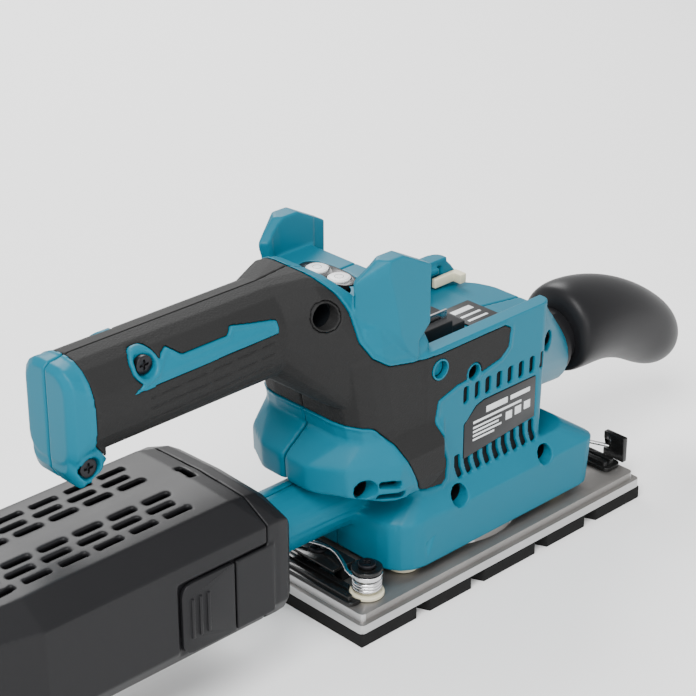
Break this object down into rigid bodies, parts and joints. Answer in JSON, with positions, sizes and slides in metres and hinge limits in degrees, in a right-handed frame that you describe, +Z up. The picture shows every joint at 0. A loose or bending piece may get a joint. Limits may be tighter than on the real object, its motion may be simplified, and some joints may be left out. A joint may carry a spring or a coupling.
{
  "type": "orbital_sander",
  "caption": "Cordless third-sheet orbital sander with a rear bar handle, a bent front grip, sprung paper clamps and a clip-on dust box",
  "frame": {"origin": "centre of the foam pad's underside", "axes": "+X towards the front grip, +Y to the tool's left, +Z up"},
  "size_m": [0.4515, 0.093, 0.1695],
  "materials": {
    "teal_plastic": "moulded with a fine grain",
    "soft_black": "matt soft overmould",
    "black_plastic": "satin moulding",
    "white_plastic": "smooth",
    "cream_rubber": "smooth elastomer",
    "cast_alloy": "die cast, machined steps",
    "bright_steel": "polished or ground",
    "black_steel": "black oxide",
    "copper_windings": "lacquered wire",
    "pad_foam": "closed-cell foam",
    "board_green": "potted board",
    "felt": "pressed felt and filter paper"
  },
  "bodies": {
    "housing": {"housing_right": "teal_plastic", "housing_left": "teal_plastic", "overmould_right": "soft_black", "overmould_left": "soft_black", "screw_handle": "black_steel", "screw_tail": "black_steel", "screw_shoulder": "black_steel", "screw_rear": "black_steel", "screw_front": "black_steel", "rating_label": "black_plastic", "dust_skirt": "felt", "front_grip": "soft_black", "grip_collar": "black_plastic", "grip_bolt": "bright_steel", "control_panel": "black_plastic", "switch_board": "board_green", "terminal_block": "black_plastic", "terminal_blade_left": "bright_steel", "terminal_blade_right": "bright_steel", "bay_label": "black_plastic", "rail_damper": "cream_rubber", "controller_board": "board_green", "stator": "copper_windings", "bearing_plate": "cast_alloy", "lower_bearing": "bright_steel", "upper_bearing": "bright_steel"},
    "power_button": {"power_button": "white_plastic"},
    "speed_button": {"speed_button": "white_plastic"},
    "rotor": {"motor_shaft": "bright_steel", "rotor_core": "black_steel", "cooling_fan": "white_plastic", "eccentric_weight": "bright_steel"},
    "pad": {"pad_bearing": "bright_steel", "base_plate": "cast_alloy", "foam_pad": "pad_foam", "pillar_rear_right": "cream_rubber", "pillar_rear_left": "cream_rubber", "pillar_front_right": "cream_rubber", "pillar_front_left": "cream_rubber", "rear_clamp_post": "cream_rubber", "rear_clamp_spring": "bright_steel", "rear_post_washer": "black_steel", "rear_post_screw": "black_steel", "rear_clamp_plate": "black_steel", "front_clamp_post": "cream_rubber", "front_clamp_spring": "bright_steel", "front_post_washer": "black_steel", "front_post_screw": "black_steel", "front_clamp_plate": "black_steel"},
    "rear_lever": {"rear_clamp_lever": "bright_steel", "rear_lever_cap": "black_plastic"},
    "front_lever": {"front_clamp_lever": "bright_steel", "front_lever_cap": "black_plastic"},
    "rear_bar": {"rear_clamp_bar": "black_steel"},
    "front_bar": {"front_clamp_bar": "black_steel"},
    "nozzle": {"dust_nozzle": "black_plastic"},
    "dust_box": {"dust_case": "black_plastic", "dust_filter": "felt"},
    "latch_right": {"dust_latch_right": "black_plastic"},
    "latch_left": {"dust_latch_left": "black_plastic"}
  },
  "joints": [
    {"name": "shaft_spin", "type": "hinge", "parent": "housing", "child": "rotor", "pos_m": [0, 0, 0.06], "axis": [0, 0, 1], "continuous": true},
    {"name": "pad_orbit", "type": "hinge", "parent": "rotor", "child": "pad", "pos_m": [0.0014, 0, 0.014], "axis": [0, 0, 1], "continuous": true},
    {"name": "power_press", "type": "slide", "parent": "housing", "child": "power_button", "axis": [0, 0, -1], "range_m": [0, 0.0006], "stiffness_N_per_m": 600},
    {"name": "speed_press", "type": "slide", "parent": "housing", "child": "speed_button", "axis": [0, 0, -1], "range_m": [0, 0.0006], "stiffness_N_per_m": 600},
    {"name": "rear_lever_swing", "type": "hinge", "parent": "pad", "child": "rear_lever", "pos_m": [-0.0765, -0.033, 0.02], "axis": [0, 0, 1], "range_deg": [0, 20]},
    {"name": "front_lever_swing", "type": "hinge", "parent": "pad", "child": "front_lever", "pos_m": [0.0765, 0.033, 0.02], "axis": [0, 0, 1], "range_deg": [0, 20]},
    {"name": "rear_bar_tilt", "type": "hinge", "parent": "pad", "child": "rear_bar", "pos_m": [-0.079, 0, 0.0146], "axis": [0, 1, 0], "range_deg": [0, 20]},
    {"name": "front_bar_tilt", "type": "hinge", "parent": "pad", "child": "front_bar", "pos_m": [0.079, 0, 0.0146], "axis": [0, -1, 0], "range_deg": [0, 20]},
    {"name": "nozzle_pull", "type": "slide", "parent": "housing", "child": "nozzle", "axis": [-1, 0, 0], "range_m": [0, 0.02]},
    {"name": "box_pull", "type": "slide", "parent": "nozzle", "child": "dust_box", "axis": [-1, 0, 0], "range_m": [0, 0.03]},
    {"name": "right_latch_flick", "type": "hinge", "parent": "dust_box", "child": "latch_right", "pos_m": [-0.159, -0.0413, 0.054], "axis": [0, 0, 1], "range_deg": [0, 12], "stiffness_Nm_per_rad": 0.05},
    {"name": "left_latch_flick", "type": "hinge", "parent": "dust_box", "child": "latch_left", "pos_m": [-0.159, 0.0413, 0.054], "axis": [0, 0, -1], "range_deg": [0, 12], "stiffness_Nm_per_rad": 0.05}
  ],
  "couplings": [
    {"joint": "pad_orbit", "follows": "shaft_spin", "ratio": -1},
    {"joint": "rear_bar_tilt", "follows": "rear_lever_swing", "ratio": 1},
    {"joint": "front_bar_tilt", "follows": "front_lever_swing", "ratio": 1}
  ]
}
